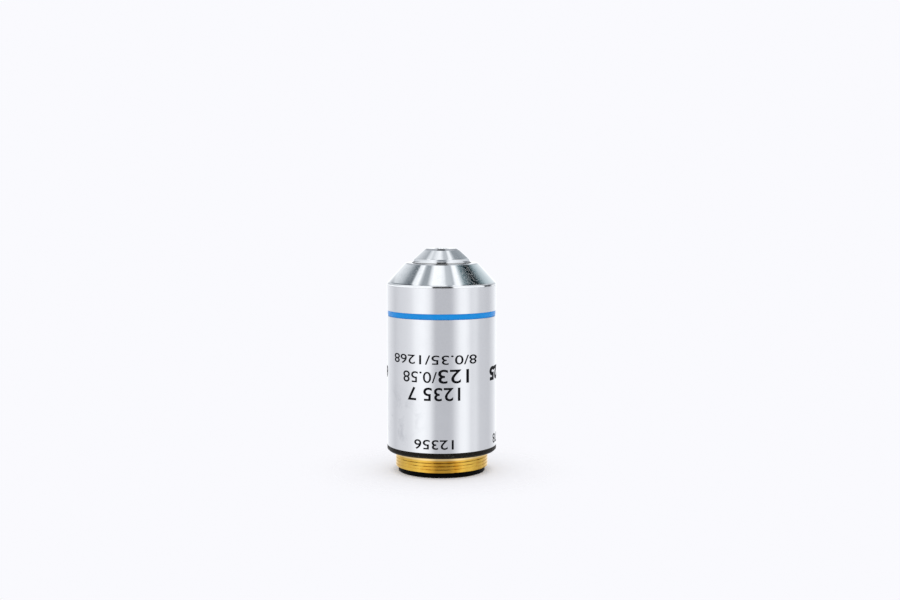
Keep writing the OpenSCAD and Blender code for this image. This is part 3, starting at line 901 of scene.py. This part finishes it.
class OBJECTIVE_OT_spring(ObjectiveOperator):
    """Buffer spring with closed ends"""

    bl_idname = "objective.spring"
    bl_label = "Buffer spring"

    def execute(self, context):
        wire = sizes().wire_r
        low, high = low_z("buffer_spring") + wire, top_z("buffer_spring") - wire
        coil = outer_radius("buffer_spring") - wire
        open_turns, steps_per_turn = 4, 28
        open_pitch = (high - low - 4 * wire) / open_turns
        curve = bpy.data.curves.new("buffer_spring_wire", "CURVE")
        curve.dimensions = "3D"
        curve.bevel_depth = wire
        curve.bevel_resolution = 3
        curve.use_fill_caps = True
        steps = (open_turns + 2) * steps_per_turn
        line = curve.splines.new("POLY")
        line.points.add(steps)
        for index, point in enumerate(line.points):
            turn = index / steps_per_turn
            closed = min(turn, 1) + max(0, turn - 1 - open_turns)
            opened = min(max(turn - 1, 0), open_turns)
            angle = math.tau * turn
            height = low + closed * 2 * wire + opened * open_pitch
            point.co = (coil * math.cos(angle), coil * math.sin(angle), height, 1)
        piece = bpy.data.objects.new("buffer_spring_wire", curve)
        bpy.context.scene.collection.objects.link(piece)
        make_active(piece)
        bpy.ops.object.convert(target="MESH")
        piece = bpy.context.object
        bpy.ops.object.mode_set(mode="EDIT")
        bpy.ops.mesh.select_all(action="SELECT")
        bpy.ops.mesh.remove_doubles(threshold=0.0005 * MM)
        bpy.ops.mesh.normals_make_consistent(inside=False)
        bpy.ops.object.mode_set(mode="OBJECT")
        shade(piece, 50)
        finish_piece(piece, HOUSING, "spring_steel", "buffer_spring")
        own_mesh(piece)
        return {"FINISHED"}


# Each row of print: text, letter height, height on the sleeve, azimuth in degrees, width, weight
PRINT_ROWS = (
    ("8/0.35/1268", 2.0, 21.2, -9.0, 20.0, 0.006),
    ("123", 3.0, 17.7, 13.0, 6.8, 0.010),
    ("/0.58", 2.4, 17.5, -23.5, 8.0, 0.004),
    ("1235 7", 2.9, 13.9, -8.6, 11.8, 0.012),
    ("12356", 2.1, 3.1, -8.1, 8.7, 0.010),
    ("25", 3.1, 17.5, 72.0, 5.2, 0.05),
    ("60", 2.6, 17.5, -84.5, 3.2, 0.03),
    ("78", 2.1, 3.1, 76.0, 3.4, 0.004),
)


class OBJECTIVE_OT_print(ObjectiveOperator):
    """Plain numbers printed round the sleeve, upside down when the nose is up"""

    bl_idname = "objective.print"
    bl_label = "Printed numbers"

    def execute(self, context):
        rows = [self.row(*row) for row in PRINT_ROWS]
        deselect_all()
        for row in rows:
            row.select_set(True)
        bpy.context.view_layer.objects.active = rows[0]
        bpy.ops.object.join()
        piece = bpy.context.object
        piece.name = "printed_numbers"
        shade(piece)
        finish_piece(piece, HOUSING, "black_lacquer", look="ink")
        return {"FINISHED"}

    def row(self, text, height, place_z, azimuth, width, weight):
        """One row of numbers, wrapped round the sleeve."""
        deselect_all()
        bpy.ops.object.text_add()
        letters = bpy.context.object
        letters.data.body = text
        letters.data.align_x = "CENTER"
        letters.data.align_y = "CENTER"
        letters.data.resolution_u = 4
        letters.data.extrude = 0.5
        letters.data.offset = weight
        bpy.ops.object.convert(target="MESH")
        row = bpy.context.object
        flat = [vert.co for vert in row.data.vertices]
        low = Vector((min(co.x for co in flat), min(co.y for co in flat), 0))
        high = Vector((max(co.x for co in flat), max(co.y for co in flat), 0))
        middle = (low + high) / 2
        scale_x = width * MM / (high.x - low.x)
        scale_y = height * MM / (high.y - low.y)
        for vert in row.data.vertices:
            vert.co.x = (vert.co.x - middle.x) * scale_x
            vert.co.y = (vert.co.y - middle.y) * scale_y
        bpy.ops.object.mode_set(mode="EDIT")
        bpy.ops.mesh.select_all(action="SELECT")
        bpy.ops.mesh.remove_doubles(threshold=0.001 * MM)
        strip = 0.4 * MM
        for index in range(1, int(width * MM / strip)):
            bpy.ops.mesh.select_all(action="SELECT")
            bpy.ops.mesh.bisect(
                plane_co=(index * strip - width * MM / 2, 0, 0), plane_no=(1, 0, 0)
            )
        bpy.ops.mesh.select_all(action="SELECT")
        bpy.ops.mesh.normals_make_consistent(inside=False)
        bpy.ops.object.mode_set(mode="OBJECT")
        face = sleeve_face()
        proud = sizes().print_proud
        for vert in row.data.vertices:
            angle = math.radians(azimuth) - vert.co.x / face
            radius = face + proud * (1 if vert.co.z > 0 else -1)
            height_here = place_z * MM - vert.co.y
            vert.co = (radius * math.sin(angle), -radius * math.cos(angle), height_here)
        return row


class OBJECTIVE_OT_nodes(ObjectiveOperator):
    """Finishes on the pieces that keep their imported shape"""

    bl_idname = "objective.nodes"
    bl_label = "Inner pieces"

    def execute(self, context):
        for part in frame["record"]["subparts"]:
            node = frame["nodes"][part["node"]]
            node.data.materials.clear()
            node.data.materials.append(finish(part["material_slot"]))
        return {"FINISHED"}


# Studio

# What the tent's panels look like in polished metal. Each band serves the faces that lean back
# from the given angle on: name, first lean, how much cooler its dark parts are on the left and
# on the right, and brightness out of 255 by azimuth in degrees.
TENT_BANDS = (
    ("sleeve", -90, (0.0, 0.0), (
        (-90, 230), (-74, 228), (-64, 213), (-57, 199), (-50, 209), (-38, 217), (-33, 225),
        (-28, 242), (-22, 250), (-18, 249), (-13, 238), (-9, 212), (-6, 190), (8, 189), (11, 194),
        (15, 218), (20, 244), (25, 247), (29, 237), (32, 221), (38, 223), (44, 202), (58, 199),
        (66, 216), (75, 238), (90, 245),
    )),
    ("edge", 4.5, (0.0, 0.0), (
        (-90, 240), (-60, 248), (-10.5, 250), (-8.6, 25), (11, 25), (13.5, 250), (49, 248),
        (52, 60), (61, 60), (67, 235), (90, 245),
    )),
    ("rim foot", 12, (0.05, 0.05), (
        (-90, 60), (-72, 50), (-64, 150), (-50, 190), (-36, 215), (-26, 230), (-18, 242),
        (-11.5, 225), (-8.5, 55), (8, 45), (11, 215), (19, 235), (30, 215), (38, 190), (50, 170),
        (66, 120), (72, 50), (90, 60),
    )),
    ("bevel", 18.5, (0.02, 0.02), (
        (-90, 245), (-75, 225), (-66, 200), (-57, 150), (-50, 215), (-45, 245), (-20, 250),
        (-17, 244), (-12, 248), (2, 246), (5, 200), (8, 140), (11, 150), (13, 245), (17, 252),
        (24, 250), (30, 235), (46, 235), (50, 20), (61, 20), (67, 190), (76, 245), (90, 247),
    )),
    ("rim", 21.5, (0.05, 0.05), (
        (-90, 230), (-76, 190), (-62, 203), (-50, 208), (-36, 217), (-26, 232), (-18, 243),
        (-12, 232), (-9, 180), (-6, 140), (4, 125), (9, 150), (12, 205), (19, 240), (26, 232),
        (38, 218), (50, 205), (64, 192), (76, 180), (90, 230),
    )),
    ("brow", 37.5, (0.06, 0.12), (
        (-90, 245), (-78, 228), (-65, 140), (-55, 120), (-48, 95), (-41, 75), (-35, 85), (-33, 140),
        (-30.5, 242), (-26.5, 250), (-22, 120), (-14, 150), (-11, 240), (4, 245), (7, 175),
        (11, 165), (13, 240), (20, 252), (24, 100), (30, 45), (40, 8), (48, 20), (55, 170), (68, 205),
        (90, 245),
    )),
    ("cone", 41.2, (0.07, 0.19), (
        (-90, 240), (-72, 226), (-58, 207), (-50, 183), (-44, 140), (-39, 108), (-35, 118),
        (-32.5, 232), (-26.5, 252), (-24, 188), (-21, 150), (-16, 152), (-13, 222), (-10, 252),
        (-1, 248), (3, 230), (5.5, 188), (13, 176), (15, 238), (17, 252), (20, 250), (23, 195),
        (26, 128), (34, 60), (39, 20), (44, 50), (50, 132), (57, 182), (68, 210), (90, 243),
    )),
    ("flank", 46.9, (0.05, 0.07), (
        (-90, 230), (-62, 200), (-46, 178), (-37, 162), (-32, 206), (-26, 226), (-20, 203),
        (-13, 228), (-4, 244), (1, 220), (5, 186), (13, 184), (16, 232), (21, 243), (26, 185),
        (31, 146), (42, 142), (55, 150), (70, 160), (90, 180),
    )),
    ("tip", 51.5, (0.03, 0.03), (
        (-90, 200), (-60, 160), (-36, 165), (-24, 155), (-17, 160), (-14, 75), (10, 65), (13, 150),
        (30, 170), (60, 145), (90, 180),
    )),
    ("lip", 56.7, (0.03, 0.08), (
        (-90, 225), (-55, 175), (-40, 145), (-33, 140), (-26, 180), (-19, 220), (-12, 195),
        (-8, 20), (8, 20), (12, 195), (20, 190), (27, 165), (34, 85), (43, 135), (52, 215), (90, 235),
    )),
    ("top", 64, (0.0, 0.0), ((-90, 248), (90, 248))),
)
# Half the width of the blend between two bands, in degrees of lean
BAND_BLEND = 0.4
TENT_WHITE = 255
SCREEN_GAMMA = 2.2
# The share of light that chrome gives back
CHROME = 0.78


def tent_light(shade_seen):
    """The light that chrome shows as that brightness."""
    return (shade_seen / TENT_WHITE) ** SCREEN_GAMMA / CHROME


def ramp(tree, factor, cool, stops):
    """A colour ramp over azimuth: shares of the tent's brightest light, cooler where dark."""
    right_from = 18  # azimuth past which the right side's coolness holds
    node = add_node(tree, "ShaderNodeValToRGB", Fac=factor)
    elements = node.color_ramp.elements
    while len(elements) < len(stops):
        elements.new(0.5)
    for element, (azimuth, seen) in zip(elements, stops):
        element.position = azimuth / 180 + 0.5
        level = tent_light(seen) / tent_light(TENT_WHITE)
        cooler = cool[0] if azimuth < right_from else cool[1]
        element.color = (level ** (1 + cooler), level, level**0.95, 1)
    return node.outputs["Color"]


def mirror_angles(tree):
    """Azimuth and lean of the face that shows a direction, and a mask of the far backdrop."""
    direction = add_node(tree, "ShaderNodeTexCoord").outputs["Generated"]
    face = add_node(tree, "ShaderNodeVectorMath", operation="SUBTRACT", Vector=direction)
    tilt = math.radians(CAMERA_TILT)
    face.inputs[1].default_value = (0, math.cos(tilt), -math.sin(tilt))
    turned = split_xyz(tree, face.outputs["Vector"])
    forward = times(tree, turned["Y"], -1.0)
    azimuth = math_node(tree, "ARCTAN2", turned["X"], forward)
    squares = plus(tree, times(tree, turned["X"], turned["X"]), times(tree, forward, forward))
    lean = math_node(tree, "ARCTAN2", turned["Z"], math_node(tree, "SQRT", squares))
    # The vector is short where a glancing face shows what stands behind the object
    short, long = 0.28, 0.5
    ahead = vector_length(tree, face.outputs["Vector"])
    behind = map_range(tree, ahead, short, long, 1.0, 0.0, smooth=True)
    degrees = math.degrees(1)
    return times(tree, azimuth, degrees), times(tree, lean, degrees), behind


def tent_panels(tree):
    """Colour of the tent's panels, band above band."""
    azimuth, lean, behind = mirror_angles(tree)
    share = plus(tree, math_node(tree, "DIVIDE", azimuth, 180.0), 0.5)
    panels = None
    for _, start, cool, stops in TENT_BANDS:
        band = ramp(tree, share, cool, stops)
        if panels is None:
            panels = band
            continue
        rise = map_range(tree, lean, start - BAND_BLEND, start + BAND_BLEND, smooth=True)
        panels = mix_colour(tree, rise, panels, band)
    return mix_colour(tree, behind, panels, (0.9, 0.9, 0.9))


def studio_world():
    """A white tent: plain for the eye and for diffuse light, with its panels seen in metal."""
    world = bpy.data.worlds.new("white_tent")
    bpy.context.scene.world = world
    world.use_nodes = True
    world.cycles.sampling_method = "NONE"
    tree = world.node_tree
    strongest = tent_light(TENT_WHITE)
    lit = add_node(tree, "ShaderNodeVectorMath", operation="MULTIPLY", Vector=tent_panels(tree))
    tint = (0.985, 0.995, 1.02)
    lit.inputs[1].default_value = [strongest * part for part in tint]
    path = add_node(tree, "ShaderNodeLightPath").outputs
    seen = mix_colour(tree, path["Is Camera Ray"], (1.0, 1.0, 1.0), colours().backdrop)
    light = mix_colour(tree, path["Is Glossy Ray"], seen, lit.outputs[0])
    set_inputs(tree, tree.nodes["Background"], Color=light)


def floor_material():
    """White paper that glows for the camera: this painted light fills in the object's shadow on it,
    least near the foot, so that only a softened shadow is kept, and it fades into the backdrop.
    """
    material, tree, shader = new_material("white_floor")
    path = add_node(tree, "ShaderNodeLightPath").outputs
    white = tuple(colours().backdrop)
    reach = vector_length(tree, object_coords(tree))
    foot = outer_radius("rear_ring")
    contact_shade = 2.2 * MM
    fade_from, fade_to = 11 * MM, 34 * MM
    # Painted light: the glow rises from 0.1 at the foot to 0.5 a little way out, lifting the shadow
    # there
    glow = map_range(tree, reach, foot, foot + contact_shade, 0.1, 0.5)
    seen_glow = times(tree, path["Is Camera Ray"], glow)
    near = map_range(tree, reach, fade_from, fade_to, 1.0, 0.0, smooth=True)
    side = add_node(tree, "ShaderNodeNewGeometry")
    above = math_node(tree, "SUBTRACT", 1.0, side.outputs["Backfacing"])
    unmirrored = math_node(tree, "SUBTRACT", 1.0, path["Is Glossy Ray"])
    set_inputs(
        tree, shader,
        Roughness=1,
        Specular_IOR_Level=0,
        Base_Color=mix_colour(tree, seen_glow, white, (0.0, 0.0, 0.0)),
        Emission_Color=(*white, 1),
        Emission_Strength=seen_glow,
        Alpha=times(tree, near, times(tree, above, unmirrored)),
    )
    return material


class OBJECTIVE_OT_stage(ObjectiveOperator):
    """White floor, white tent and the camera at the photograph's angle"""

    bl_idname = "objective.stage"
    bl_label = "Studio"

    def execute(self, context):
        scene = context.scene
        deselect_all()
        bpy.ops.mesh.primitive_circle_add(
            vertices=96, radius=50 * MM, fill_type="NGON", location=(0, 0, CAD_BOX[0][2])
        )
        floor = bpy.context.object
        floor.name = "floor"
        floor.data.materials.append(floor_material())
        studio_world()
        scene.view_settings.view_transform = "Standard"
        self.camera(scene)
        return {"FINISHED"}

    def camera(self, scene):
        """The camera, fitted to the outline in the photograph."""
        picture_width = 900
        focal_pixels = 1318.4
        data = bpy.data.cameras.new("camera")
        data.sensor_width = 36
        data.lens = focal_pixels / picture_width * data.sensor_width
        data.clip_start = 10 * MM
        camera = bpy.data.objects.new("camera", data)
        camera.location = (1.83 * MM, -287.8 * MM, 57.05 * MM)
        camera.rotation_euler = (math.radians(90 - CAMERA_TILT), 0, 0)
        scene.collection.objects.link(camera)
        scene.camera = camera


class OBJECTIVE_PT_panel(bpy.types.Panel):
    """Lists the pieces in the sidebar"""

    bl_idname = "OBJECTIVE_PT_panel"
    bl_label = "Microscope Objective"
    bl_space_type = "VIEW_3D"
    bl_region_type = "UI"
    bl_category = "Objective"

    def draw(self, context):
        for name in BUILD_ORDER:
            self.layout.operator(f"objective.{name}")
        for name in ObjectiveSizes.__annotations__:
            self.layout.prop(context.scene.objective_sizes, name)
        for name in ObjectiveColours.__annotations__:
            self.layout.prop(context.scene.objective_colours, name)


BUILD_ORDER = (
    "nodes", "sleeve", "ring", "cone", "nose", "front_lens", "thread", "foot", "spring", "print",
    "stage",
)

CLASSES = (
    ObjectiveSizes, ObjectiveColours, OBJECTIVE_OT_nodes, OBJECTIVE_OT_sleeve, OBJECTIVE_OT_ring,
    OBJECTIVE_OT_cone, OBJECTIVE_OT_nose, OBJECTIVE_OT_front_lens, OBJECTIVE_OT_thread,
    OBJECTIVE_OT_foot, OBJECTIVE_OT_spring, OBJECTIVE_OT_print, OBJECTIVE_OT_stage,
    OBJECTIVE_PT_panel,
)


def register():
    """Registers the classes and puts the settings on the scene."""
    for cls in CLASSES:
        bpy.utils.register_class(cls)
    bpy.types.Scene.objective_sizes = PointerProperty(type=ObjectiveSizes)
    bpy.types.Scene.objective_colours = PointerProperty(type=ObjectiveColours)


def unregister():
    """Takes the settings off the scene and unregisters the classes."""
    del bpy.types.Scene.objective_colours
    del bpy.types.Scene.objective_sizes
    for cls in reversed(CLASSES):
        bpy.utils.unregister_class(cls)


def main():
    """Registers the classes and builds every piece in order."""
    register()
    for name in BUILD_ORDER:
        getattr(bpy.ops.objective, name)()


if __name__ == "__main__":
    main()
